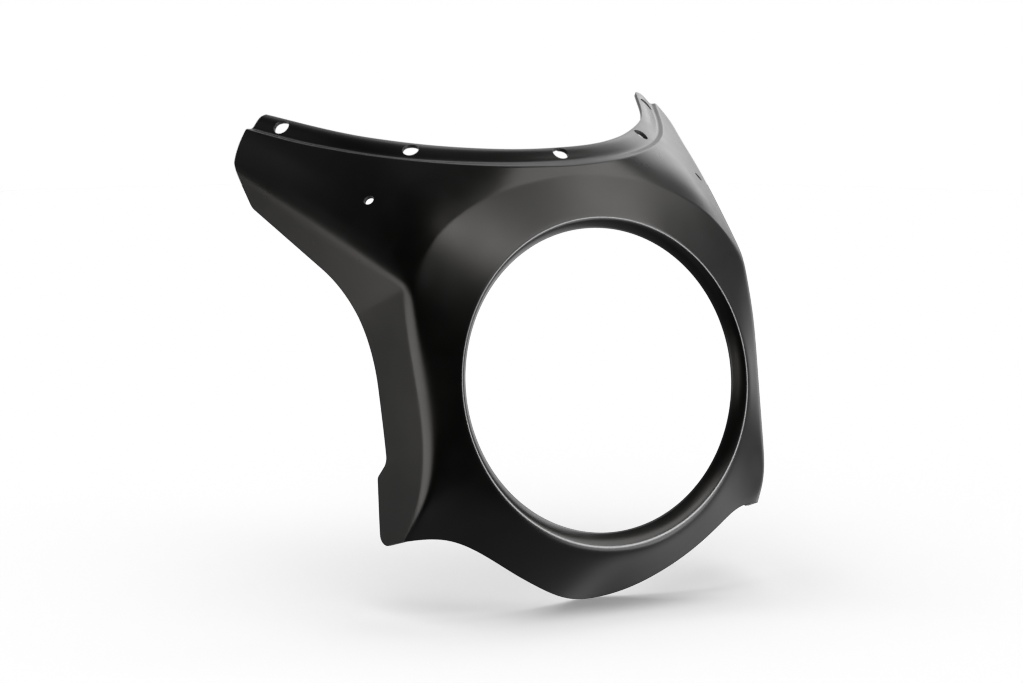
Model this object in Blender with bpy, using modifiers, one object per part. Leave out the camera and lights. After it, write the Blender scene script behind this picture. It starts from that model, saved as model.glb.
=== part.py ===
"""Half fairing for a naked motorbike: one moulded ABS shell around the headlight.

The shell is mirror symmetric. Its frame is the one it has on the bike: +Z up, the front faces -Y,
and the origin is the centre of the headlight opening, in the plane of the opening's trimmed edge.
Plain values are in metres. Tables of points are in millimetres, for the half at +X.
"""

import bmesh
import bpy
import numpy as np
from math import cos, pi, radians, sin, tan
from mathutils import Matrix, Vector

MM = 0.001

# Moulding
WALL = 0.0028

# Headlight opening and the rounded rim around it
OPENING_DIAMETER = 0.200
RIM_WIDTH = 0.0095          # from the opening's edge out to the crest of the rim
RIM_STANDOFF = 0.0092       # the crest stands this far ahead of the opening's edge
RIM_PROFILE = [              # outward in parts of its width, forward in parts of its standoff
    (0.0, -0.48), (0.0, 0.0), (0.12, 0.22), (0.52, 0.72), (0.90, 1.02), (1.09, 1.03), (1.48, 0.84),
]

# Outer line of the front face: clock angle in degrees from the top, distance from the opening's
# axis, depth. It is the soft brow crease, then the upright fold of the side, then the chin's edge.
BROW_LINE = [
    (0, 138.0, 9.3), (15, 139.0, 12.3), (30, 143.0, 14.8), (45, 147.3, 15.3),
    (61, 146.7, 16.3),
]
FOLD_LINE = [
    (71, 137.3, 11.8), (82, 129.6, 8.4), (91, 126.8, 6.0), (100, 127.8, 5.2),
    (108, 132.7, 6.2), (115.5, 141.3, 9.8), (120.6, 153.3, 18.3), (124.6, 163.3, 34.8),
]
CHIN_LINE = [
    (128.0, 148.9, 25.8), (132.5, 139.8, 17.8), (139, 138.3, 14.2), (148.5, 137.9, 15.0),
    (159.2, 139.4, 20.6), (169.8, 143.5, 31.3), (180, 145.7, 43.3),
]
FOLD_ROUND = 0.0070         # half width of the rounding along the upright fold
FOLD_LINE_ROUND = 0.0015    # and of the line where that rounding ends on the side panel
FOLD_TUCK = 0.0018          # the rounding starts this far inside the side panel, halfway along it
WING_FOLD_ROUND = 0.0090    # the same two along the wing's fold
WING_LINE_ROUND = 0.0060
BROW_ROUND = 0.0050         # half width of the rounding along the brow

# Wing: tip of the fold between its upper and its side panel, and the lower tab's corner
WING_TIP = (174.1, 164.5, 165.0)
TAB_CORNER = (136.4, 57.5, -94.7)
UPPER_CROWN = 0.0046        # how far the upper panel bows out where it is UPPER_SPAN wide
UPPER_SPAN = 0.074

# Screen flange: the step at its foot, and its free edge
SCREEN_STEP = [
    (0, 12.6, 142.1), (22, 14.2, 143.1), (41, 19.6, 144.6), (61.4, 31.0, 147.7), (77.2, 43.0, 150.8),
    (97.9, 64.3, 156.4), (115.4, 87.2, 162.5), (129.5, 110.0, 169.0), (139.8, 128.9, 174.5),
    (149.3, 147.8, 181.0), (159.0, 167.8, 188.2),
]
SCREEN_EDGE = [
    (0, 30.5, 155.7), (18, 31.4, 155.9), (33.5, 35.8, 157.0), (50.0, 45.4, 159.3), (64.0, 55.6, 161.9),
    (80.5, 71.6, 166.0), (96.0, 87.5, 170.9), (109.9, 104.8, 176.2), (122.2, 125.0, 182.8),
    (133.6, 148.1, 190.6), (145.7, 172.5, 199.0),
]
SCREEN_RECESS = 0.0028      # the flange lies this far under the outer face, the screen's thickness
FLANGE_BULGE_MIDDLE = 0.0012    # how far the flange bows out, at the middle
FLANGE_BULGE_WING = 0.0015      # and along the wings
STEP_ROUND = 0.0013         # half width of the rounding of the step
LEDGE_MIDDLE = 0.0085       # width of the sloped ledge at the foot of the flange, at the middle
LEDGE_WING = 0.0042         # and along the wings
CROWN_FALL = 1.5            # power by which the crown fades where the upper panel narrows
LEDGE_FALL = 1.5            # power by which the ledge narrows from the middle to the wings

# Holes
SCREEN_HOLE_DIAMETER = 0.011
SCREEN_HOLE_SPANS = (0.0, 0.0880, 0.1430)
SCREEN_HOLE_MARGINS = (0.0006, 0.0034, 0.0025)     # between each hole and the flange's free edge
BRACKET_HOLE_DIAMETER = 0.007
BRACKET_HOLE = (128.0, 61.0, 132.0)

# Rear outline of the sides, as seen from the side: depth, height, corner radius
SIDE_OUTLINE = [
    (126.0, 190.5, 0), (175.0, 203.5, 4), (169.5, 188.0, 0), (165.5, 166.5, 7), (150.8, 135.0, 12),
    (51.0, 58.2, 105), (49.4, -41.0, 10), (59.8, -50.5, 4), (62.8, -94.6, 7), (48.0, -96.2, 0),
]
OVERHANG = 0.010            # the shell is lofted this far past that outline, then trimmed

# Control points of the loft: columns around half the front face and along the wing's fold,
# and the places of the rows between two lines, in parts of the way
RING_COLUMNS = 20
WING_COLUMNS = 5
FACE_ROW = 0.45
UPPER_ROWS = (0.30, 0.62)
LEDGE_ROW = 0.40
LEDGE_DROP = 0.30
FLANGE_ROWS = ((0.25, 0.45), (0.72, 1.0))   # each with its part of the bulge
SIDE_ROW = 0.55
ROUNDING_SHARE = 0.30       # a rounding takes no more than this part of the way
REAR_HEIGHTS = (0.055, 0.132)   # the wing's fold is joined to the rear outline between these heights
SIDE_DROPS = (0.012, 0.0055)    # the side's columns drop this much on the way back, top to tab
LEVELS = 1
HOLE_SIDES = 24
LIP_SIDES = 96
ARC_SIDES = 6               # fewest sides of a rounded corner in the rear outline
ARC_STEP = 0.008            # longest side of one
SHARP_ANGLE = 35

OPENING_RADIUS = OPENING_DIAMETER / 2
CREST_RADIUS = OPENING_RADIUS + RIM_WIDTH
LIP_CUT = 2 * RIM_STANDOFF  # depth of the block that trims the lip
HOLE_CUT = 4 * WALL         # length of the hole cutters
TRIM_MARGIN = 2 * OVERHANG  # the trimming block reaches this far past the rear outline


def smooth_through(points, stations):
    """Points on a smooth line through the given ones, at fractions of its chord length."""
    points = np.array(points, dtype=float)
    chord = np.linalg.norm(np.diff(points, axis=0), axis=1)
    run = np.concatenate(([0.0], np.cumsum(chord)))
    slope = np.gradient(points, run, axis=0)
    result = []
    for station in stations:
        at = min(max(station, 0.0), 1.0) * run[-1]
        left = min(int(np.searchsorted(run, at, side="right")) - 1, len(points) - 2)
        width = run[left + 1] - run[left]
        u = (at - run[left]) / width
        result.append((2 * u**3 - 3 * u**2 + 1) * points[left]
                      + (u**3 - 2 * u**2 + u) * width * slope[left]
                      + (3 * u**2 - 2 * u**3) * points[left + 1]
                      + (u**3 - u**2) * width * slope[left + 1])
    return result


def clock_point(angle, radius, depth):
    """Point at a clock angle around the opening's axis."""
    return Vector((radius * sin(radians(angle)), depth, radius * cos(radians(angle))))


def front_face_line():
    """Columns of the front face's outer line, spread evenly within each of its three stretches."""
    rows = BROW_LINE + FOLD_LINE + CHIN_LINE
    table = [clock_point(angle, radius * MM, depth * MM) for angle, radius, depth in rows]
    wing = len(BROW_LINE) - 1
    tab = wing + len(FOLD_LINE)
    fold_column = round(RING_COLUMNS * rows[wing][0] / 180)
    tab_column = round(RING_COLUMNS * rows[tab][0] / 180)
    stretches = (
        (table[:wing + 1], fold_column),
        (table[wing:tab + 1], tab_column - fold_column),
        (table[tab:], RING_COLUMNS - tab_column),
    )
    line = [table[0]]
    for points, count in stretches:
        line += [Vector(p) for p in smooth_through(points, np.linspace(0, 1, count + 1)[1:])]
    return line, fold_column, tab_column


def side_plane(fold_point):
    """Half width of the flat side panel as a function of depth and height."""
    tip, tab = Vector(WING_TIP) * MM, Vector(TAB_CORNER) * MM
    normal = (tip - fold_point).cross(tab - fold_point).normalized()
    offset = normal.dot(fold_point)
    return lambda y, z: (offset - normal.y * y - normal.z * z) / normal.x


def outline_depth(height):
    """Depth of the rear outline at a height, its corners left sharp."""
    lower = [(z * MM, y * MM) for y, z, _ in SIDE_OUTLINE[1:-1]][::-1]
    return float(np.interp(height, [z for z, _ in lower], [y for _, y in lower]))


def blend(a, b, u):
    return a + (b - a) * u


def offset_from(a, b, distance):
    """Point on the way from a to b, at a distance from a but within the rounding's share."""
    return a + (b - a) * min(distance / (b - a).length, ROUNDING_SHARE)


def ring_rows(angle, outer):
    """One column of the front face, from the lip's land out to its outer line."""
    # A closed cubic B-spline runs inside its control points, by this factor on a circle.
    swell = 3 / (2 + cos(pi / RING_COLUMNS))
    rows = [clock_point(angle, (OPENING_RADIUS + out * RIM_WIDTH) * swell, -ahead * RIM_STANDOFF)
            for out, ahead in RIM_PROFILE]
    shoulder = rows[-1]
    return rows + [blend(shoulder, outer, FACE_ROW), offset_from(outer, shoulder, FOLD_ROUND), outer]


def upper_rows(foot, step, along, crown, rounding):
    """Rows of the upper panel from its lower line to the screen step."""
    normal = along.cross(step - foot).normalized()
    rows = [blend(foot, step, u) + normal * crown * 4 * u * (1 - u) for u in UPPER_ROWS]
    first = offset_from(foot, rows[0], rounding)
    last = offset_from(step, rows[-1], STEP_ROUND)
    return [foot, first] + rows + [last, step]


def flange_frame(step, edge, along):
    """Directions up the recessed flange and out of it, at one place along the step."""
    normal = along.cross(edge - step).normalized()
    up = (edge + normal * SCREEN_RECESS - step).normalized()
    return up, along.cross(up).normalized()


def flange_rows(step, edge, along, ledge, bulge):
    """Rows of the ledge and the recessed flange, from the step to the free edge."""
    up, normal = flange_frame(step, edge, along)
    foot = step + up * ledge - normal * SCREEN_RECESS
    slope = step + up * ledge * LEDGE_ROW - normal * SCREEN_RECESS * LEDGE_DROP
    bowed = [blend(foot, edge, u) + normal * bulge * part for u, part in FLANGE_ROWS]
    return [slope, foot] + bowed + [edge]


def side_rows(fold, front, rear, rounding, line_rounding):
    """Rows of the flat side panel, from a fold by its front edge to its untrimmed rear edge."""
    first = offset_from(front, rear, rounding)
    return [fold, first, offset_from(first, rear, line_rounding), blend(front, rear, SIDE_ROW), rear]


def extended(points, distance):
    """The line with its last point moved on along the line."""
    last = points[-1]
    return points[:-1] + [last + (last - points[-2]).normalized() * distance]


def tangents(points, symmetric_start=False):
    """Unit directions along a line of points."""
    result = []
    for i, point in enumerate(points):
        before = points[max(i - 1, 0)]
        after = points[min(i + 1, len(points) - 1)]
        if i == 0 and symmetric_start:
            before = Vector((-after.x, after.y, after.z))
        result.append((after - before).normalized())
    return result


def shell_cage():
    """Coarse cage of the half at +X: control points by patch, and the quads between them."""
    outer, fold_column, tab_column = front_face_line()
    tucked = list(outer)
    for i in range(fold_column, tab_column):
        u = (i - fold_column) / (tab_column - fold_column)
        tucked[i] = outer[i] - Vector((FOLD_TUCK * 4 * u * (1 - u), 0, 0))
    ring = [ring_rows(180 * i / RING_COLUMNS, tucked[i]) for i in range(RING_COLUMNS + 1)]

    # The wing's fold goes on from the front face, past the trimmed end.
    corner = outer[fold_column]
    tip = Vector(WING_TIP) * MM
    fold = [blend(corner, tip, i / WING_COLUMNS) for i in range(WING_COLUMNS + 1)]
    fold = extended(fold, OVERHANG)
    foot = outer[:fold_column + 1] + fold[1:]

    count = len(foot)
    stations = np.linspace(0, 1, count)
    step = extended([Vector(p) * MM for p in smooth_through(SCREEN_STEP, stations)], OVERHANG)
    edge = extended([Vector(p) * MM for p in smooth_through(SCREEN_EDGE, stations)], OVERHANG)
    foot_along = tangents(foot, True)
    step_along = tangents(step, True)
    upper = []
    for i in range(count):
        ramp = min(i / (fold_column - 1), 1.0)
        width = min((step[i] - foot[i]).length / UPPER_SPAN, 1.0)
        crown = UPPER_CROWN * width**CROWN_FALL * ramp**2
        along = (foot_along[i] + step_along[i]).normalized()
        rounding = WING_FOLD_ROUND if i >= fold_column else BROW_ROUND
        ledge = blend(LEDGE_MIDDLE, LEDGE_WING, ramp**LEDGE_FALL)
        bulge = blend(FLANGE_BULGE_MIDDLE, FLANGE_BULGE_WING, ramp)
        upper.append(upper_rows(foot[i], step[i], along, crown, rounding)
                     + flange_rows(step[i], edge[i], step_along[i], ledge, bulge))

    half_width = side_plane(corner)
    low, high = REAR_HEIGHTS
    side = []
    for i in range(WING_COLUMNS, -1, -1):
        z = blend(low, high, i / WING_COLUMNS)
        y = outline_depth(z) + OVERHANG
        rounding = (WING_FOLD_ROUND, WING_LINE_ROUND) if i > 0 else (FOLD_ROUND, FOLD_LINE_ROUND)
        side.append(side_rows(fold[i], fold[i], Vector((half_width(y, z), y, z)), *rounding))
    for i in range(fold_column + 1, tab_column + 1):
        z = outer[i].z - blend(*SIDE_DROPS, (i - fold_column) / (tab_column - fold_column))
        y = outline_depth(max(z, TAB_CORNER[2] * MM)) + OVERHANG
        rear = Vector((half_width(y, z), y, z))
        side.append(side_rows(tucked[i], outer[i], rear, FOLD_ROUND, FOLD_LINE_ROUND))
    return ring, upper, side


def add_patch(mesh, index, columns):
    """Quads between neighbouring columns, sharing the points that lie in one place."""
    def vertex(point):
        key = tuple(round(c * 1e6) for c in point)
        if key not in index:
            index[key] = mesh.verts.new(point)
        return index[key]

    for a, b in zip(columns[:-1], columns[1:]):
        for i in range(len(a) - 1):
            mesh.faces.new([vertex(p) for p in (a[i], b[i], b[i + 1], a[i + 1])])


def make_collection(name):
    collection = bpy.data.collections.new(name)
    bpy.context.scene.collection.children.link(collection)
    return collection


def make_material(name, colour, roughness):
    material = bpy.data.materials.new(name)
    material.use_nodes = True
    shader = material.node_tree.nodes["Principled BSDF"]
    shader.inputs["Base Color"].default_value = (*colour, 1)
    shader.inputs["Roughness"].default_value = roughness
    shader.inputs["Metallic"].default_value = 0
    return material


def make_shell(collection):
    """The moulded shell, before its holes are drilled and its edges trimmed."""
    mesh, index = bmesh.new(), {}
    ring, upper, side = shell_cage()
    for columns in (ring, upper, side):
        add_patch(mesh, index, columns)
    for vertex in mesh.verts:
        if abs(vertex.co.x) < 1e-6:
            vertex.co.x = 0
    data = bpy.data.meshes.new("fairing_shell")
    mesh.to_mesh(data)
    mesh.free()
    shell = bpy.data.objects.new("fairing_shell", data)
    collection.objects.link(shell)
    data.materials.append(make_material("satin_black_abs", (0.012, 0.012, 0.013), 0.42))

    mirror = shell.modifiers.new("both_sides", "MIRROR")
    mirror.use_axis = (True, False, False)
    mirror.merge_threshold = 0.00005
    mirror.use_clip = True
    smooth = shell.modifiers.new("soft_form", "SUBSURF")
    smooth.levels = LEVELS
    smooth.render_levels = LEVELS
    wall = shell.modifiers.new("wall", "SOLIDIFY")
    wall.thickness = WALL
    wall.offset = -1
    wall.use_even_offset = True
    wall.use_quality_normals = True
    return shell


def filleted(corners):
    """Outline in a plane, in metres, with each corner rounded by its own radius."""
    outline = []
    count = len(corners)
    for i, (y, z, radius) in enumerate(corners):
        here = Vector((y, z))
        if radius == 0:
            outline.append(here)
            continue
        before = (Vector(corners[i - 1][:2]) - here).normalized()
        after = (Vector(corners[(i + 1) % count][:2]) - here).normalized()
        half = before.angle(after) / 2
        start = here + before * radius / tan(half)
        centre = here + (before + after).normalized() * radius / sin(half)
        sweep = pi - 2 * half
        steps = max(ARC_SIDES, round(radius * sweep / ARC_STEP))
        turn = 1 if before.cross(after) < 0 else -1
        for k in range(steps + 1):
            arm = (start - centre).copy()
            arm.rotate(Matrix.Rotation(turn * sweep * k / steps, 2))
            outline.append(centre + arm)
    return outline


def as_cutter(mesh, name, collection):
    bmesh.ops.recalc_face_normals(mesh, faces=mesh.faces)
    data = bpy.data.meshes.new(name)
    mesh.to_mesh(data)
    mesh.free()
    cutter = bpy.data.objects.new(name, data)
    collection.objects.link(cutter)
    cutter.hide_render = True
    cutter.display_type = "WIRE"
    return cutter


def outline_cutter(collection):
    """Block behind the rear outline of both sides."""
    corners = [(y * MM, z * MM, radius * MM) for y, z, radius in SIDE_OUTLINE]
    half_span = WING_TIP[0] * MM + TRIM_MARGIN
    behind = max(y for y, _, _ in corners) + TRIM_MARGIN
    top = corners[1][1] + TRIM_MARGIN
    bottom = corners[-1][1] - TRIM_MARGIN
    corners += [(corners[-1][0], bottom, 0), (behind, bottom, 0),
                (behind, top, 0), (corners[0][0], top, 0)]
    mesh = bmesh.new()
    outline = [mesh.verts.new((-half_span, p.x, p.y)) for p in filleted(corners)]
    face = mesh.faces.new(outline)
    block = bmesh.ops.extrude_face_region(mesh, geom=[face])
    moved = [item for item in block["geom"] if isinstance(item, bmesh.types.BMVert)]
    bmesh.ops.translate(mesh, verts=moved, vec=(2 * half_span, 0, 0))
    return as_cutter(mesh, "rear_outline", collection)


def drill(name, place, axis, diameter, collection, mirrored):
    """Round cutter through the wall, along an axis, on one or both sides."""
    mesh = bmesh.new()
    bmesh.ops.create_cone(mesh, cap_ends=True, segments=HOLE_SIDES, radius1=diameter / 2,
                          radius2=diameter / 2, depth=HOLE_CUT)
    turn = axis.to_track_quat("Z", "Y").to_matrix().to_4x4()
    bmesh.ops.transform(mesh, matrix=Matrix.Translation(place) @ turn, verts=mesh.verts)
    if mirrored:
        twin = bmesh.ops.duplicate(mesh, geom=mesh.verts[:] + mesh.edges[:] + mesh.faces[:])
        copies = [item for item in twin["geom"] if isinstance(item, bmesh.types.BMVert)]
        bmesh.ops.scale(mesh, vec=(-1, 1, 1), verts=copies)
    return as_cutter(mesh, name, collection)


def screen_hole_places():
    """A place just outside the flange by the centre of each screen hole at +X."""
    stations = np.linspace(0, 1, 200)
    step = [Vector(p) * MM for p in smooth_through(SCREEN_STEP, stations)]
    edge = [Vector(p) * MM for p in smooth_through(SCREEN_EDGE, stations)]
    along = tangents(edge, True)
    places = []
    for span, margin in zip(SCREEN_HOLE_SPANS, SCREEN_HOLE_MARGINS):
        inset = SCREEN_HOLE_DIAMETER / 2 + margin
        tries = []
        for foot, top, way in zip(step, edge, along):
            up, normal = flange_frame(foot, top, way)
            tries.append(top - up * inset + normal * SCREEN_RECESS)
        places.append(min(tries, key=lambda found: abs(found.x - span)))
    return places


def surface_point(shell, target):
    """Nearest point of the outer face to a target, with its normal."""
    graph = bpy.context.evaluated_depsgraph_get()
    found, place, normal, _ = shell.evaluated_get(graph).closest_point_on_mesh(target)
    if not found:
        return target, Vector((0, -1, 0))
    return place, normal


def cut(shell, cutter):
    hole = shell.modifiers.new(cutter.name, "BOOLEAN")
    hole.operation = "DIFFERENCE"
    hole.solver = "EXACT"
    hole.object = cutter


def main():
    for item in list(bpy.data.objects):
        bpy.data.objects.remove(item, do_unlink=True)
    parts = make_collection("half_fairing")
    cutters = make_collection("cutters")

    shell = make_shell(parts)
    bpy.context.view_layer.update()
    bracket_place, bracket_axis = surface_point(shell, Vector(BRACKET_HOLE) * MM)

    # The lip is cut off square in the plane of the opening.
    lip = bmesh.new()
    bmesh.ops.create_cone(lip, cap_ends=True, segments=LIP_SIDES, radius1=CREST_RADIUS,
                          radius2=CREST_RADIUS, depth=LIP_CUT)
    behind = Matrix.Translation((0, LIP_CUT / 2, 0)) @ Matrix.Rotation(pi / 2, 4, "X")
    bmesh.ops.transform(lip, matrix=behind, verts=lip.verts)
    cut(shell, as_cutter(lip, "lip_trim", cutters))
    cut(shell, outline_cutter(cutters))
    names = ("screen_hole_middle", "screen_holes_inner", "screen_holes_outer")
    for name, target in zip(names, screen_hole_places()):
        off_middle = target.x > SCREEN_HOLE_DIAMETER
        place, axis = surface_point(shell, target)
        cut(shell, drill(name, place, axis, SCREEN_HOLE_DIAMETER, cutters, off_middle))
    cut(shell, drill("bracket_holes", bracket_place, bracket_axis, BRACKET_HOLE_DIAMETER, cutters,
                     True))

    shell.data.shade_smooth()
    shell.data.set_sharp_from_angle(angle=radians(SHARP_ANGLE))


main()
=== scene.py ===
from math import cos, pi, radians, sin, tan

import bmesh
import bpy
import numpy as np
from mathutils import Matrix, Vector


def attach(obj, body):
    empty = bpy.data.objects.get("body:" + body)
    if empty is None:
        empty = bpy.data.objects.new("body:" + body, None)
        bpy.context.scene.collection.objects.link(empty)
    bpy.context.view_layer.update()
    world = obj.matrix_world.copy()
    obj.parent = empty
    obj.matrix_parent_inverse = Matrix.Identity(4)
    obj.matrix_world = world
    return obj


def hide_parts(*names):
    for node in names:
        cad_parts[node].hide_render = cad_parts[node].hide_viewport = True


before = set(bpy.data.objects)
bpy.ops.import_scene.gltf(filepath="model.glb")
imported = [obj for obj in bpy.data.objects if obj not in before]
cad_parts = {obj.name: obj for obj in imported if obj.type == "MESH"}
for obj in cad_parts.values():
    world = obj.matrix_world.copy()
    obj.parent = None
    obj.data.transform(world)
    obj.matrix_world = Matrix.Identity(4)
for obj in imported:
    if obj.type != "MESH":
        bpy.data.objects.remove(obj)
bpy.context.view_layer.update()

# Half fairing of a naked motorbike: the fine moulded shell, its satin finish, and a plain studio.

mm = 0.001
scene = bpy.context.scene


# The shell. Lines and places are in mm for the half at +X, and every other length is in metres.

shell = {
    "wall": 0.0028,
    "level": 3,                     # subdivisions of the cage
    "openingRadius": 0.100,
    # from the opening's edge out to the crest of the rim: mean, and what it gains downward
    # and as an oval
    "rimWidths": (0.00745, 0.0015, 0.00065),
    "rimStandoff": 0.0092,
    # outer line of the front face: clock angle, distance from the opening's axis, depth
    "brow": [(0, 137.0, 9.3), (15, 138.0, 12.3), (30, 142.0, 14.4), (45, 146.4, 14.0),
             (60.6, 145.5, 13.3)],
    "fold": [(71, 136.1, 9.3), (82, 128.7, 6.6), (91, 126.1, 4.7), (100, 127.4, 4.5),
             (108, 132.6, 5.9), (115.5, 141.3, 9.8), (120.6, 153.3, 18.3), (124.6, 163.3, 34.8)],
    "chin": [(128.0, 148.9, 25.8), (132.5, 139.8, 17.8), (139, 138.3, 14.2), (148.5, 137.9, 15.0),
             (159.2, 139.4, 20.6), (169.8, 143.5, 31.3), (180, 145.7, 43.3)],
    # width on the side of the fold's rounding, and of the line where it ends there: below the
    # fold's upper corner, and along the wing
    "foldRounds": (0.0070, 0.0015),
    "wingFoldRounds": (0.0150, 0.0110),
    "wingWiden": 2.0,               # how fast the first widens into the second along the wing
    "tuck": 0.0018,                 # the rounding starts this far inside the side, halfway along
    "frontRound": 0.0090,           # width of the fold's and the chin's rounding on the front face
    "browRound": 0.0026,            # width of the brow's rounding on each of its sides
    # most of the way to the next row that a rounding may take: on the side and at the step, on
    # the upper panel above the fold, and on the front face
    "roundingShare": 0.30,
    "footShare": 0.60,
    "frontShare": 0.52,
    "cornerStep": 0.05,             # the first columns after the fold's upper corner lie this near
    "wingTip": (174.1, 164.5, 162.6),
    "tabCorner": (136.4, 57.5, -94.7),
    "crown": 0.0046,                # how far the upper panel bows out
    "crownSpan": 0.074,
    "fall": 1.5,                    # power by which the crown and the ledge fade along the wing
    "step": [(0, 12.6, 142.1), (22, 14.2, 143.1), (41, 19.6, 144.6), (61.4, 31.0, 147.7),
             (77.2, 43.0, 150.8), (97.9, 64.3, 156.4), (115.4, 87.2, 162.5), (129.5, 110.0, 169.0),
             (139.8, 128.9, 174.5), (149.3, 147.8, 181.0), (159.0, 167.8, 188.2)],
    "flangeEdge": [(0, 30.5, 155.7), (18, 31.4, 155.9), (33.5, 35.8, 157.0), (50.0, 45.4, 159.3),
                   (64.0, 55.6, 161.9), (80.5, 71.6, 166.0), (96.0, 87.5, 170.9),
                   (109.9, 104.8, 176.2), (122.2, 125.0, 182.8), (133.6, 148.1, 190.6),
                   (145.7, 172.5, 199.0)],
    "recess": 0.0028,
    "bulge": (0.0012, 0.0015),      # of the flange, at the middle and along the wings
    "ledge": (0.0085, 0.0032),      # at the middle, along the wings
    "ringColumns": 20,
    "wingColumns": 5,
    "faceRow": 0.32,
    "upperRows": (0.30, 0.62),
    "ledgeDrop": 0.30,
    "flangeRows": ((0.25, 0.45), (0.72, 1.0)),      # each with its part of the bulge
    "sideRow": 0.55,
    "rearHeights": (0.055, 0.132),  # of the wing's columns at the rear outline
    "sideDrops": (0.012, 0.0055),   # how far the columns below fall on their way to the rear
    "overhang": 0.010,              # lofted this far past the ends, then trimmed
    "rearReach": 0.016,             # and this far past the sides' rear outline
    "chinRoll": 0.0036,             # how far the chin's lower edge turns under
    "chinRollColumns": 3,           # columns over which it comes in after the tab
    "pointsPerMetre": 1e6,          # corners that agree on this grid are one
    "mergeGap": 0.00005,            # and so are points this near to the mirror plane
}

# The outer face is crisp at the rim's crest and the step. The inner face follows an eased form
# of it, as a moulded wall does. The rim's profile is given by how far each row lies out from the
# opening's edge, in rim widths, and how far ahead of it, in standoffs.
crisp = {
    "rimProfile": [(0.0, -0.48), (0.0, 0.0), (0.12, 0.22), (0.52, 0.72), (0.90, 1.02),
                   (1.09, 1.03), (1.48, 0.84)],
    "stepRound": 0.0013,
    "ledgeRow": 0.40,
}
eased = {
    "rimProfile": [(0.0, -0.48), (0.0, 0.0), (0.12, 0.22), (0.46, 0.66), (0.84, 0.94),
                   (1.17, 0.97), (1.48, 0.84)],
    "stepRound": 0.0040,
    "ledgeRow": 0.60,
}

# What is cut away.
trim = {
    # rear outline of the sides: depth, height, corner radius
    "outline": [(126.0, 190.5, 0), (169.9, 199.4, 2.5), (169.5, 188.0, 0), (165.5, 166.5, 7),
                (150.8, 135.0, 12), (51.0, 58.2, 105), (49.4, -41.0, 10), (59.8, -50.5, 4),
                (62.8, -94.6, 7), (48.0, -96.2, 0)],
    "margin": 0.020,            # the cutter reaches this far past the shell
    "arcStep": 0.003,           # length of one side of a rounded corner
    "arcSides": 8,              # and the fewest sides it has
    "screenHole": 0.011,
    "screenSpans": (0.0, 0.0888, 0.1430),           # from the mirror plane, out along +X
    "screenMargins": (0.0006, 0.0026, 0.0022),      # between a hole and the flange's edge
    "screenTries": 200,         # places along the flange that are tried for each span
    "bracketHole": 0.007,
    "bracketAt": (128.0, 61.0, 133.0),
    "holeSides": 48,
    "lipSides": 240,
    "cutDepth": 0.012,
    "sharpAngle": 40,           # edges past this angle stay sharp, in degrees
}


def smoothThrough(points, stations):
    # Hermite line through the points, read at fractions of its chord length
    points = np.array(points, dtype=float)
    run = np.concatenate(([0.0], np.cumsum(np.linalg.norm(np.diff(points, axis=0), axis=1))))
    slope = np.gradient(points, run, axis=0)
    line = []
    for station in stations:
        at = station * run[-1]
        left = min(int(np.searchsorted(run, at, side="right")) - 1, len(points) - 2)
        width = run[left + 1] - run[left]
        u = (at - run[left]) / width
        line.append((2 * u**3 - 3 * u**2 + 1) * points[left]
                    + (u**3 - 2 * u**2 + u) * width * slope[left]
                    + (3 * u**2 - 2 * u**3) * points[left + 1]
                    + (u**3 - u**2) * width * slope[left + 1])
    return [Vector(p) for p in line]


def clockPoint(angle, radius, depth):
    return Vector((radius * sin(radians(angle)), depth, radius * cos(radians(angle))))


def mix(a, b, u):
    return a + (b - a) * u


def setBack(a, b, distance, share=shell["roundingShare"]):
    # on the way from a to b, at a distance from a but within the rounding's share
    return a + (b - a) * min(distance / (b - a).length, share)


def carriedOn(points, distance):
    last = points[-1]
    return points[:-1] + [last + (last - points[-2]).normalized() * distance]


def directions(points):
    # unit directions along a line that starts square to the mirror plane
    found = []
    for i, point in enumerate(points):
        before = points[max(i - 1, 0)]
        after = points[min(i + 1, len(points) - 1)]
        if i == 0:
            before = Vector((-after.x, after.y, after.z))
        found.append((after - before).normalized())
    return found


def fromCorner(count):
    # stations from 0 to 1, the first close to the corner to keep it crisp
    return [0.0] + list(np.linspace(shell["cornerStep"], 1, count))


def frontLine():
    rows = shell["brow"] + shell["fold"] + shell["chin"]
    table = [clockPoint(angle, radius * mm, depth * mm) for angle, radius, depth in rows]
    wing = len(shell["brow"]) - 1
    tab = wing + len(shell["fold"])
    columns = shell["ringColumns"]
    foldColumn = round(columns * rows[wing][0] / 180)
    tabColumn = round(columns * rows[tab][0] / 180)
    line = [table[0]]
    for points, stations in ((table[:wing + 1], np.linspace(0, 1, foldColumn + 1)),
                             (table[wing:tab + 1], fromCorner(tabColumn - foldColumn)),
                             (table[tab:], np.linspace(0, 1, columns - tabColumn + 1))):
        line += smoothThrough(points, stations[1:])
    return line, foldColumn, tabColumn


def ringColumn(angle, outer, rounding, form):
    # the factor makes up for the subdivision, which runs inside its control points
    swell = 3 / (2 + cos(pi / shell["ringColumns"]))
    mean, down, oval = shell["rimWidths"]
    width = mean - down * cos(radians(angle)) + oval * cos(radians(2 * angle))
    rows = [clockPoint(angle, (shell["openingRadius"] + out * width) * swell,
                       -ahead * shell["rimStandoff"]) for out, ahead in form["rimProfile"]]
    shoulder = rows[-1]
    return rows + [mix(shoulder, outer, shell["faceRow"]),
                   setBack(outer, shoulder, rounding, shell["frontShare"]), outer]


def upperColumn(foot, step, along, crown, rounds):
    normal = along.cross(step - foot).normalized()
    rows = [mix(foot, step, u) + normal * crown * 4 * u * (1 - u) for u in shell["upperRows"]]
    return [foot, setBack(foot, rows[0], rounds[0], shell["footShare"])] + rows + [
        setBack(step, rows[-1], rounds[1]), step]


def flangeFrame(step, edge, along):
    normal = along.cross(edge - step).normalized()
    up = (edge + normal * shell["recess"] - step).normalized()
    return up, along.cross(up).normalized()


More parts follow.
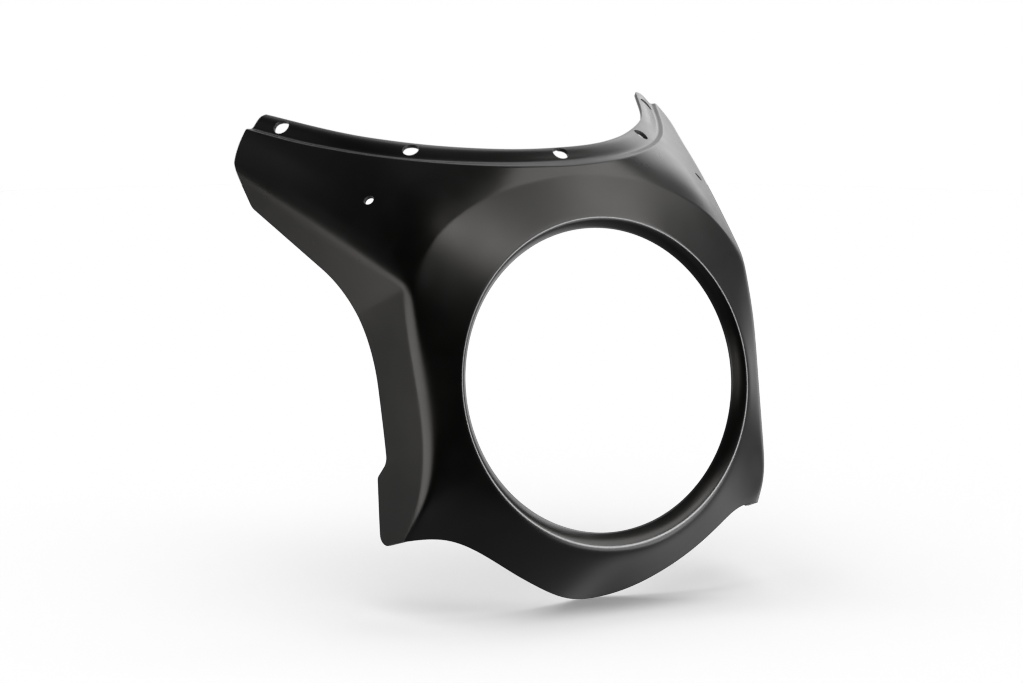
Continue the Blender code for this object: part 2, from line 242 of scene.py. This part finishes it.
def flangeColumn(step, edge, along, ledge, bulge, form):
    up, normal = flangeFrame(step, edge, along)
    foot = step + up * ledge - normal * shell["recess"]
    slope = step + up * ledge * form["ledgeRow"] - normal * shell["recess"] * shell["ledgeDrop"]
    bowed = [mix(foot, edge, u) + normal * bulge * part for u, part in shell["flangeRows"]]
    return [slope, foot] + bowed + [edge]


def sideColumn(fold, front, rear, rounds):
    # front and rear lie on the flat side, and the fold may be tucked in behind its front
    first = setBack(front, rear, rounds[0])
    return [fold, first, setBack(first, rear, rounds[1]), mix(front, rear, shell["sideRow"]), rear]


def upperPatch(foot, foldColumn, form):
    # along the wing the step's stations go halfway with those of the fold
    count = len(foot)
    stations = np.linspace(0, 1, count)
    near = np.array(fromCorner(shell["wingColumns"]))
    even = np.linspace(0, 1, shell["wingColumns"] + 1)
    stations[foldColumn:] = mix(stations[foldColumn], 1.0, (near + even) / 2)
    step = [p * mm for p in smoothThrough(shell["step"], stations)]
    edge = [p * mm for p in smoothThrough(shell["flangeEdge"], stations)]
    step = carriedOn(step, shell["overhang"])
    edge = carriedOn(edge, shell["overhang"])
    footAlong, stepAlong = directions(foot), directions(step)
    patch = []
    for i in range(count):
        ramp = min(i / (foldColumn - 1), 1.0)
        width = min((step[i] - foot[i]).length / shell["crownSpan"], 1.0)
        crown = shell["crown"] * width**shell["fall"] * ramp**2
        rounding = shell["wingFoldRounds"][0] if i >= foldColumn else shell["browRound"]
        ledge = mix(*shell["ledge"], ramp**shell["fall"])
        bulge = mix(*shell["bulge"], ramp)
        along = (footAlong[i] + stepAlong[i]).normalized()
        patch.append(upperColumn(foot[i], step[i], along, crown, (rounding, form["stepRound"]))
                     + flangeColumn(step[i], edge[i], stepAlong[i], ledge, bulge, form))
    return patch


def sidePatch(outer, tucked, fold, foldColumn, tabColumn):
    tip, tab = Vector(shell["wingTip"]) * mm, Vector(shell["tabCorner"]) * mm
    normal = (tip - fold[0]).cross(tab - fold[0]).normalized()
    heights = [z * mm for _, z, _ in trim["outline"][1:-1]][::-1]
    depths = [y * mm for y, _, _ in trim["outline"][1:-1]][::-1]

    def rear(z, outlineZ):
        # on the flat side's plane, past what the rear outline is at outlineZ
        y = float(np.interp(outlineZ, heights, depths)) + shell["rearReach"]
        return Vector(((normal.dot(fold[0]) - normal.y * y - normal.z * z) / normal.x, y, z))

    patch = []
    for i, station in reversed(list(enumerate(fromCorner(shell["wingColumns"])))):
        widen = min(shell["wingWiden"] * station, 1.0)
        rounds = [mix(a, b, widen) for a, b in zip(shell["foldRounds"], shell["wingFoldRounds"])]
        z = mix(*shell["rearHeights"], station)
        patch.append(sideColumn(fold[i], fold[i], rear(z, z), rounds))
    for i in range(foldColumn + 1, tabColumn + 1):
        z = outer[i].z - mix(*shell["sideDrops"], (i - foldColumn) / (tabColumn - foldColumn))
        back = rear(z, max(z, tab.z))
        patch.append(sideColumn(tucked[i], outer[i], back, shell["foldRounds"]))
    return patch


def addPatch(mesh, index, columns):
    def corner(point):
        key = tuple(round(c * shell["pointsPerMetre"]) for c in point)
        if key not in index:
            index[key] = mesh.verts.new(point)
        return index[key]

    for a, b in zip(columns[:-1], columns[1:]):
        for i in range(len(a) - 1):
            mesh.faces.new([corner(p) for p in (a[i], b[i], b[i + 1], a[i + 1])])


def buildCage(form):
    outer, foldColumn, tabColumn = frontLine()
    columns = shell["ringColumns"]
    tucked = list(outer)
    for i in range(foldColumn, tabColumn):
        u = (i - foldColumn) / (tabColumn - foldColumn)
        tucked[i] = outer[i] - Vector((shell["tuck"] * 4 * u * (1 - u), 0, 0))
    for i in range(tabColumn + 1, columns + 1):
        coming = min((i - tabColumn) / shell["chinRollColumns"], 1.0)
        tucked[i] = outer[i] + Vector((0, shell["chinRoll"] * coming, 0))
    ring = [ringColumn(180 * i / columns, tucked[i],
                       shell["browRound" if i < foldColumn else "frontRound"], form)
            for i in range(columns + 1)]
    tip = Vector(shell["wingTip"]) * mm
    fold = carriedOn([mix(outer[foldColumn], tip, station)
                      for station in fromCorner(shell["wingColumns"])], shell["overhang"])
    mesh, index = bmesh.new(), {}
    addPatch(mesh, index, ring)
    addPatch(mesh, index, upperPatch(outer[:foldColumn + 1] + fold[1:], foldColumn, form))
    addPatch(mesh, index, sidePatch(outer, tucked, fold, foldColumn, tabColumn))
    for vertex in mesh.verts:
        if abs(vertex.co.x) < 1 / shell["pointsPerMetre"]:
            vertex.co.x = 0
    return asObject(mesh, "fairingCage")


def asObject(mesh, name):
    data = bpy.data.meshes.new(name)
    mesh.to_mesh(data)
    mesh.free()
    made = bpy.data.objects.new(name, data)
    scene.collection.objects.link(made)
    return made


def roundedOutline():
    # the rear outline closed behind the shell, its corners rounded by their own radius
    corners = [(y * mm, z * mm, radius * mm) for y, z, radius in trim["outline"]]
    behind = max(y for y, _, _ in corners) + trim["margin"]
    top, bottom = corners[1][1] + trim["margin"], corners[-1][1] - trim["margin"]
    corners += [(corners[-1][0], bottom, 0), (behind, bottom, 0), (behind, top, 0),
                (corners[0][0], top, 0)]
    outline = []
    for i, (y, z, radius) in enumerate(corners):
        here = Vector((y, z))
        if radius == 0:
            outline.append(here)
            continue
        before = (Vector(corners[i - 1][:2]) - here).normalized()
        after = (Vector(corners[(i + 1) % len(corners)][:2]) - here).normalized()
        half = before.angle(after) / 2
        start = here + before * radius / tan(half)
        centre = here + (before + after).normalized() * radius / sin(half)
        sweep = pi - 2 * half
        steps = max(trim["arcSides"], round(radius * sweep / trim["arcStep"]))
        turn = 1 if before.cross(after) < 0 else -1
        for k in range(steps + 1):
            arm = (start - centre).copy()
            arm.rotate(Matrix.Rotation(turn * sweep * k / steps, 2))
            outline.append(centre + arm)
    return outline


def outlineCutter():
    span = shell["wingTip"][0] * mm + trim["margin"]
    mesh = bmesh.new()
    face = mesh.faces.new([mesh.verts.new((-span, p.x, p.y)) for p in roundedOutline()])
    block = bmesh.ops.extrude_face_region(mesh, geom=[face])
    moved = [item for item in block["geom"] if isinstance(item, bmesh.types.BMVert)]
    bmesh.ops.translate(mesh, verts=moved, vec=(2 * span, 0, 0))
    bmesh.ops.recalc_face_normals(mesh, faces=mesh.faces)
    return asObject(mesh, "rearOutline")


def lipCutter():
    radius, depth = shell["openingRadius"] + shell["rimWidths"][0], trim["cutDepth"]
    mesh = bmesh.new()
    bmesh.ops.create_cone(mesh, cap_ends=True, segments=trim["lipSides"], radius1=radius,
                          radius2=radius, depth=depth)
    behind = Matrix.Translation((0, depth / 2, 0)) @ Matrix.Rotation(pi / 2, 4, "X")
    bmesh.ops.transform(mesh, matrix=behind, verts=mesh.verts)
    return asObject(mesh, "lipTrim")


def screenHolePlaces():
    # just outside the flange, by the centre of each screen hole at +X
    stations = np.linspace(0, 1, trim["screenTries"])
    step = [p * mm for p in smoothThrough(shell["step"], stations)]
    edge = [p * mm for p in smoothThrough(shell["flangeEdge"], stations)]
    along = directions(edge)
    places = []
    for span, margin in zip(trim["screenSpans"], trim["screenMargins"]):
        inset = trim["screenHole"] / 2 + margin
        tries = []
        for foot, top, way in zip(step, edge, along):
            up, normal = flangeFrame(foot, top, way)
            tries.append(top - up * inset + normal * shell["recess"])
        places.append(min(tries, key=lambda found: abs(found.x - span)))
    return places


def surfaceUnder(piece, target):
    graph = bpy.context.evaluated_depsgraph_get()
    found, place, normal, _ = piece.evaluated_get(graph).closest_point_on_mesh(target)
    return (place, normal) if found else (target, Vector((0, -1, 0)))


def holePoints(piece):
    # every hole as (place, axis, diameter), on both sides of the mirror plane
    targets = [(target, trim["screenHole"]) for target in screenHolePlaces()]
    targets.append((Vector(trim["bracketAt"]) * mm, trim["bracketHole"]))
    holes = [(*surfaceUnder(piece, target), width) for target, width in targets]
    flip = Vector((-1, 1, 1))
    return holes + [(place * flip, axis * flip, width) for place, axis, width in holes
                    if place.x > trim["screenHole"]]


def drillTree():
    # Geometry Nodes: a round cutter on every point, turned to the point's axis
    tree = bpy.data.node_groups.new("drillHoles", "GeometryNodeTree")
    face = tree.interface
    face.new_socket("Geometry", in_out="INPUT", socket_type="NodeSocketGeometry")
    for name, socketType in (("Sides", "NodeSocketInt"), ("Cut Depth", "NodeSocketFloat")):
        face.new_socket(name, in_out="INPUT", socket_type=socketType)
    face.new_socket("Material", in_out="INPUT", socket_type="NodeSocketMaterial")
    face.new_socket("Geometry", in_out="OUTPUT", socket_type="NodeSocketGeometry")
    new, link = tree.nodes.new, tree.links.new
    start, end = new("NodeGroupInput"), new("NodeGroupOutput")

    axis = new("GeometryNodeInputNamedAttribute")
    axis.data_type = "FLOAT_VECTOR"
    axis.inputs["Name"].default_value = "axis"
    width = new("GeometryNodeInputNamedAttribute")
    width.data_type = "FLOAT"
    width.inputs["Name"].default_value = "width"

    drill = new("GeometryNodeMeshCylinder")
    drill.inputs["Radius"].default_value = 0.5
    link(start.outputs["Sides"], drill.inputs["Vertices"])
    link(start.outputs["Cut Depth"], drill.inputs["Depth"])

    turn = new("FunctionNodeAlignRotationToVector")
    turn.axis = "Z"
    link(axis.outputs["Attribute"], turn.inputs["Vector"])
    across = new("ShaderNodeCombineXYZ")
    across.inputs["Z"].default_value = 1
    link(width.outputs["Attribute"], across.inputs["X"])
    link(width.outputs["Attribute"], across.inputs["Y"])

    place = new("GeometryNodeInstanceOnPoints")
    link(start.outputs["Geometry"], place.inputs["Points"])
    link(drill.outputs["Mesh"], place.inputs["Instance"])
    link(turn.outputs["Rotation"], place.inputs["Rotation"])
    link(across.outputs["Vector"], place.inputs["Scale"])
    real = new("GeometryNodeRealizeInstances")
    link(place.outputs["Instances"], real.inputs["Geometry"])
    paint = new("GeometryNodeSetMaterial")
    link(real.outputs["Geometry"], paint.inputs["Geometry"])
    link(start.outputs["Material"], paint.inputs["Material"])
    link(paint.outputs["Geometry"], end.inputs["Geometry"])
    return tree


def drillCutter(piece, cutWall):
    holes = holePoints(piece)
    data = bpy.data.meshes.new("holePoints")
    data.from_pydata([place for place, _, _ in holes], [], [])
    data.attributes.new("axis", "FLOAT_VECTOR", "POINT")
    data.attributes.new("width", "FLOAT", "POINT")
    for i, (_, axis, width) in enumerate(holes):
        data.attributes["axis"].data[i].vector = axis
        data.attributes["width"].data[i].value = width
    points = bpy.data.objects.new("holePoints", data)
    scene.collection.objects.link(points)
    tree = drillTree()
    drill = points.modifiers.new("drillHoles", "NODES")
    drill.node_group = tree
    sockets = {item.name: item.identifier for item in tree.interface.items_tree
               if item.in_out == "INPUT"}
    drill[sockets["Sides"]] = trim["holeSides"]
    drill[sockets["Cut Depth"]] = trim["cutDepth"]
    drill[sockets["Material"]] = cutWall
    return points


def applied(piece, name):
    # the piece with its modifiers applied, as a plain mesh
    graph = bpy.context.evaluated_depsgraph_get()
    data = bpy.data.meshes.new_from_object(piece.evaluated_get(graph))
    data.name = name
    bpy.data.objects.remove(piece)
    made = bpy.data.objects.new(name, data)
    scene.collection.objects.link(made)
    return made


def fineFace(form):
    # both halves of one face of the shell, as a plain mesh
    cage = buildCage(form)
    mirror = cage.modifiers.new("bothSides", "MIRROR")
    mirror.merge_threshold = shell["mergeGap"]
    mirror.use_clip = True
    soft = cage.modifiers.new("softForm", "SUBSURF")
    soft.levels = soft.render_levels = shell["level"]
    bpy.context.view_layer.update()
    face = applied(cage, "fineFace")
    data = face.data
    bpy.data.objects.remove(face)
    return data


def closedWall(materials):
    # the crisp outer face, the inner face a wall's thickness behind the eased one, and the
    # strips between their borders
    outer, inner = fineFace(crisp), fineFace(eased)
    count = len(outer.vertices)
    places = [v.co for v in outer.vertices]
    places += [v.co - v.normal * shell["wall"] for v in inner.vertices]
    front = [tuple(face.vertices) for face in outer.polygons]
    back = [tuple(i + count for i in reversed(face)) for face in front]
    sides = {pair for face in front for pair in zip(face, face[1:] + face[:1])}
    strips = [(b, a, a + count, b + count) for a, b in sides if (b, a) not in sides]
    data = bpy.data.meshes.new("fairingShell")
    data.from_pydata(places, [], front + back + strips)
    for material in materials:
        data.materials.append(material)
    slots = [0] * len(front) + [1] * len(back) + [2] * len(strips)
    data.polygons.foreach_set("material_index", slots)
    made = bpy.data.objects.new("fairingShell", data)
    scene.collection.objects.link(made)
    return made


def buildShell(outerSkin, innerSkin, cutWall):
    piece = closedWall((outerSkin, innerSkin, cutWall))
    bpy.context.view_layer.update()
    drills = applied(drillCutter(piece, cutWall), "drills")
    cutters = [lipCutter(), outlineCutter(), drills]
    for cutter in cutters[:2]:
        cutter.data.materials.append(cutWall)
    for cutter in cutters:
        cut = piece.modifiers.new(cutter.name, "BOOLEAN")
        cut.operation = "DIFFERENCE"
        cut.solver = "EXACT"
        cut.material_mode = "TRANSFER"
        cut.object = cutter
    piece = applied(piece, "fairingShell")
    for cutter in cutters:
        bpy.data.objects.remove(cutter)
    piece.data.shade_smooth()
    piece.data.set_sharp_from_angle(angle=radians(trim["sharpAngle"]))
    return piece


# Finishes. The group puts out values only, and the shaders stay in the materials.

satin = {
    "colour": (0.0014, 0.0013, 0.0012),
    "roughness": 0.29,
    "grain": 0.00045,       # size of the fine grain
    "grainDepth": 0.000012,
    "ripple": 0.016,        # size of the slow unevenness of the moulded face
    "rippleDepth": 0.000010,
}
inside = {
    "colour": (0.014, 0.014, 0.014),
    "roughness": 0.58,
    "grain": 0.0011,
    "grainDepth": 0.00006,
    "ripple": 0.020,
    "rippleDepth": 0.00003,
}
cutEdge = {
    "colour": (0.022, 0.022, 0.022),
    "roughness": 0.50,
    "grain": 0.0003,
    "grainDepth": 0.000015,
    "ripple": 0.004,
    "rippleDepth": 0.00001,
}
# What the three share: the detail of grain and ripple, how far colour and roughness vary over the
# ripple's patches, and the part of the noise over which the roughness goes from end to end.
patches = {
    "grainDetail": 2.0,
    "rippleDetail": 1.0,
    "colourSpread": 0.08,
    "roughnessSpread": 0.02,
    "noiseRange": (0.1, 0.9),
}


def grainGroup():
    # fine grain over a slow ripple, as a height, and the ripple again as a mask of patches
    group = bpy.data.node_groups.new("mouldedGrain", "ShaderNodeTree")
    face = group.interface
    for name in ("Grain Size", "Grain Depth", "Ripple Size", "Ripple Depth"):
        face.new_socket(name, in_out="INPUT", socket_type="NodeSocketFloat")
    face.new_socket("Height", in_out="OUTPUT", socket_type="NodeSocketFloat")
    face.new_socket("Patches", in_out="OUTPUT", socket_type="NodeSocketFloat")
    new, link = group.nodes.new, group.links.new
    start, end = new("NodeGroupInput"), new("NodeGroupOutput")
    place = new("ShaderNodeTexCoord")

    def noise(size, detail):
        # a noise whose features have the size that the socket gives
        scale = new("ShaderNodeMath")
        scale.operation = "DIVIDE"
        scale.inputs[0].default_value = 1.0
        link(size, scale.inputs[1])
        made = new("ShaderNodeTexNoise")
        made.inputs["Detail"].default_value = detail
        link(place.outputs["Object"], made.inputs["Vector"])
        link(scale.outputs[0], made.inputs["Scale"])
        return made.outputs["Fac"]

    def times(a, b):
        made = new("ShaderNodeMath")
        made.operation = "MULTIPLY"
        link(a, made.inputs[0])
        link(b, made.inputs[1])
        return made.outputs[0]

    grain = noise(start.outputs["Grain Size"], patches["grainDetail"])
    ripple = noise(start.outputs["Ripple Size"], patches["rippleDetail"])
    total = new("ShaderNodeMath")
    total.operation = "ADD"
    link(times(grain, start.outputs["Grain Depth"]), total.inputs[0])
    link(times(ripple, start.outputs["Ripple Depth"]), total.inputs[1])
    link(total.outputs[0], end.inputs["Height"])
    link(ripple, end.inputs["Patches"])
    return group


def mouldedPlastic(name, finish, grain):
    material = bpy.data.materials.new(name)
    material.use_nodes = True
    tree = material.node_tree
    new, link = tree.nodes.new, tree.links.new
    shader = tree.nodes["Principled BSDF"]

    surface = new("ShaderNodeGroup")
    surface.node_tree = grain
    for socket, key in (("Grain Size", "grain"), ("Grain Depth", "grainDepth"),
                        ("Ripple Size", "ripple"), ("Ripple Depth", "rippleDepth")):
        surface.inputs[socket].default_value = finish[key]

    bump = new("ShaderNodeBump")
    bump.inputs["Distance"].default_value = 1.0
    link(surface.outputs["Height"], bump.inputs["Height"])
    link(bump.outputs["Normal"], shader.inputs["Normal"])

    rough = new("ShaderNodeMapRange")
    rough.interpolation_type = "SMOOTHSTEP"
    rough.inputs["From Min"].default_value, rough.inputs["From Max"].default_value = (
        patches["noiseRange"])
    rough.inputs["To Min"].default_value = finish["roughness"] - patches["roughnessSpread"]
    rough.inputs["To Max"].default_value = finish["roughness"] + patches["roughnessSpread"]
    link(surface.outputs["Patches"], rough.inputs["Value"])
    link(rough.outputs["Result"], shader.inputs["Roughness"])

    tint = new("ShaderNodeMix")
    tint.data_type = "RGBA"
    spread = patches["colourSpread"]
    tint.inputs["A"].default_value = (*((1 - spread) * c for c in finish["colour"]), 1)
    tint.inputs["B"].default_value = (*((1 + spread) * c for c in finish["colour"]), 1)
    link(surface.outputs["Patches"], tint.inputs["Factor"])
    link(tint.outputs["Result"], shader.inputs["Base Color"])
    return material


# The studio: camera, white ground that keeps the shadow, and soft lamps round a white backdrop.

camera = {
    "azimuth": -28.148,
    "elevation": 0.020,
    "roll": -5.127,
    "distance": 2.9369,
    "across": -0.058213,
    "up": 0.025287,
    "lens": 157.37,
    "sensor": 36,
    "reach": 50,
}
ground = {
    "tilt": 11.3,           # the photo's level against the bike's, in degrees
    "radius": 2.0,
    "sides": 96,
    "colour": 0.85,
    "roughness": 0.8,
}
# Each lamp is a soft panel: its place as the camera sees it, in degrees and metres, its width
# and height, and its level, at which 1 is white. Where nothing else is said, it is white and
# lights the object alone. One that lets all through casts no shadow.
lamps = {
    "over": {"azimuth": 54, "elevation": 52, "distance": 0.90, "size": (1.30, 0.56), "level": 2.6,
             "tint": (1.0, 0.98, 0.95)},
    "right": {"azimuth": 74, "elevation": 24, "distance": 1.23, "size": (0.74, 0.60), "level": 3.0},
    "key": {"azimuth": 62, "elevation": -3, "distance": 1.30, "size": (0.72, 0.90), "level": 16.0},
    "low": {"azimuth": 78, "elevation": -36, "distance": 1.20, "size": (1.20, 0.80), "level": 2.9},
    "left": {"azimuth": -71, "elevation": -6, "distance": 1.20, "size": (0.64, 0.60), "level": 2.9,
             "tint": (1.0, 0.97, 0.92)},
    "side": {"azimuth": -124, "elevation": 6, "distance": 1.30, "size": (1.30, 2.10), "level": 0.14},
    "front": {"azimuth": -4, "elevation": 58, "distance": 1.20, "size": (0.50, 0.30), "level": 1.6,
              "tint": (1.0, 0.97, 0.92), "lights": "all"},
    "tip": {"azimuth": -90, "elevation": 34, "distance": 1.30, "size": (0.27, 0.80), "level": 0.34},
    "rear": {"azimuth": 156, "elevation": 30, "distance": 1.40, "size": (0.58, 0.50), "level": 1.2},
    "top": {"azimuth": 176, "elevation": 58, "distance": 1.20, "size": (1.20, 0.40), "level": 1.0},
    "sky": {"azimuth": -40, "elevation": 78, "distance": 1.30, "size": (2.60, 2.60), "level": 1.0,
            "lights": "floor"},
    "wash": {"azimuth": 0, "elevation": 80, "distance": 1.60, "size": (2.60, 2.60), "level": 4.5,
             "lights": "floor", "letsThrough": True},
    "edge": {"azimuth": -52, "elevation": -5, "distance": 1.20, "size": (0.22, 0.56), "level": 1.1,
             "tint": (1.0, 0.97, 0.92)},
}
room = {
    "aim": (0, 0.05, 0.03),     # what the lamps point at
    "fill": 0.18,
    "shade": (-13.0, 19.4),     # the room's dark end, as the camera sees it
    "shadeEdge": (0.08, 0.65),  # cosine of the angle from its middle
    "backdrop": 1.0,
    "backdropEdge": (0.55, 0.85),
}


def cameraAxes():
    a, e, roll = (radians(camera[key]) for key in ("azimuth", "elevation", "roll"))
    back = Vector((sin(a) * cos(e), -cos(a) * cos(e), sin(e)))
    right = Vector((cos(a), sin(a), 0))
    up = back.cross(right)
    return (right * cos(roll) + up * sin(roll), up * cos(roll) - right * sin(roll), back)


def addCamera():
    right, up, back = cameraAxes()
    data = bpy.data.cameras.new("camera")
    data.lens = camera["lens"]
    data.sensor_width = camera["sensor"]
    data.clip_end = camera["reach"]
    made = bpy.data.objects.new("camera", data)
    scene.collection.objects.link(made)
    place = back * camera["distance"] + right * camera["across"] + up * camera["up"]
    made.matrix_world = Matrix.Translation(place) @ Matrix((right, up, back)).transposed().to_4x4()
    scene.camera = made


def seenFromCamera(azimuth, elevation):
    # a direction by its angles from the camera: 0, 0 is back to the camera
    right, up, back = cameraAxes()
    a, e = radians(azimuth), radians(elevation)
    return right * sin(a) * cos(e) + up * sin(e) + back * cos(a) * cos(e)


def addLamp(name, lamp, floor):
    # most lamps leave the floor out, so that only soft light from above casts the shadow
    toLamp = seenFromCamera(lamp["azimuth"], lamp["elevation"])
    across = cameraAxes()[1].cross(toLamp).normalized()
    data = bpy.data.lights.new(name, "AREA")
    data.shape = "RECTANGLE"
    data.size, data.size_y = lamp["size"]
    data.energy = pi * data.size * data.size_y * lamp["level"]
    data.color = lamp.get("tint", (1.0, 1.0, 1.0))
    made = bpy.data.objects.new(name, data)
    scene.collection.objects.link(made)
    turn = Matrix((across, toLamp.cross(across), toLamp)).transposed().to_4x4()
    made.matrix_world = Matrix.Translation(Vector(room["aim"]) + toLamp * lamp["distance"]) @ turn
    made.visible_camera = False
    lit = lamp.get("lights", "object")
    if lit == "all":
        return
    linked = bpy.data.collections.new(f"{name}Links")
    linked.objects.link(floor)
    made.light_linking.receiver_collection = linked
    linked.collection_objects[0].light_linking.link_state = (
        "INCLUDE" if lit == "floor" else "EXCLUDE")
    if lamp.get("letsThrough"):
        made.light_linking.blocker_collection = linked


def addGround(piece):
    # a disc on the photo's level that touches the shell's lowest point and catches its shadow
    normal = Matrix.Rotation(radians(ground["tilt"]), 3, "X") @ Vector((0, 0, 1))
    lowest = min((v.co.copy() for v in piece.data.vertices), key=lambda p: p.dot(normal))
    mesh = bmesh.new()
    bmesh.ops.create_circle(mesh, cap_ends=True, segments=ground["sides"],
                            radius=ground["radius"])
    turn = Vector((0, 0, 1)).rotation_difference(normal).to_matrix().to_4x4()
    bmesh.ops.transform(mesh, matrix=Matrix.Translation(lowest) @ turn, verts=mesh.verts)
    floor = asObject(mesh, "floor")
    floor.is_shadow_catcher = True
    floor.visible_glossy = False
    floor.visible_diffuse = False
    floor.visible_shadow = False
    material = bpy.data.materials.new("paleFloor")
    material.use_nodes = True
    shader = material.node_tree.nodes["Principled BSDF"]
    shader.inputs["Base Color"].default_value = (*[ground["colour"]] * 3, 1)
    shader.inputs["Roughness"].default_value = ground["roughness"]
    floor.data.materials.append(material)
    return floor


def addWorld():
    # white for the camera; reflections see the white backdrop behind the object and a dim room
    # with a dark end
    world = bpy.data.worlds.new("studio")
    scene.world = world
    world.use_nodes = True
    tree = world.node_tree
    tree.nodes.clear()
    new, link = tree.nodes.new, tree.links.new
    place = new("ShaderNodeTexCoord")

    def toward(direction, edge):
        # rises over the edge as the ray turns to the direction
        facing = new("ShaderNodeVectorMath")
        facing.operation = "DOT_PRODUCT"
        facing.inputs[1].default_value = direction
        link(place.outputs["Generated"], facing.inputs[0])
        rise = new("ShaderNodeMapRange")
        rise.interpolation_type = "SMOOTHSTEP"
        rise.inputs["From Min"].default_value, rise.inputs["From Max"].default_value = edge
        link(facing.outputs["Value"], rise.inputs["Value"])
        return rise

    backdrop = toward(-cameraAxes()[2], room["backdropEdge"])
    shade = toward(seenFromCamera(*room["shade"]), room["shadeEdge"])
    shade.inputs["To Min"].default_value = room["fill"]
    shade.inputs["To Max"].default_value = 0.0

    path = new("ShaderNodeLightPath")
    shiny = new("ShaderNodeMath")
    shiny.operation = "MAXIMUM"
    link(path.outputs["Is Glossy Ray"], shiny.inputs[0])
    link(path.outputs["Is Transmission Ray"], shiny.inputs[1])
    seen = new("ShaderNodeMath")
    seen.operation = "MULTIPLY"
    link(shiny.outputs[0], seen.inputs[0])
    link(backdrop.outputs["Result"], seen.inputs[1])
    white = new("ShaderNodeMath")
    white.operation = "MAXIMUM"
    link(path.outputs["Is Camera Ray"], white.inputs[0])
    link(seen.outputs[0], white.inputs[1])

    dim, pale = new("ShaderNodeBackground"), new("ShaderNodeBackground")
    link(shade.outputs["Result"], dim.inputs["Color"])
    pale.inputs["Color"].default_value = (*[room["backdrop"]] * 3, 1)
    blend, out = new("ShaderNodeMixShader"), new("ShaderNodeOutputWorld")
    link(white.outputs[0], blend.inputs["Fac"])
    link(dim.outputs[0], blend.inputs[1])
    link(pale.outputs[0], blend.inputs[2])
    link(blend.outputs[0], out.inputs["Surface"])


print("finishes")
grain = grainGroup()
outerSkin = mouldedPlastic("satinBlackShell", satin, grain)
innerSkin = mouldedPlastic("mouldedInside", inside, grain)
cutWall = mouldedPlastic("trimmedEdge", cutEdge, grain)

print("shell")
fairingShell = buildShell(outerSkin, innerSkin, cutWall)
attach(fairingShell, "root")
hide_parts("fairing_shell")

print("studio")
addCamera()
addWorld()
floor = addGround(fairingShell)
for name, lamp in lamps.items():
    addLamp(name, lamp, floor)
scene.view_settings.view_transform = "Standard"

print("finish")
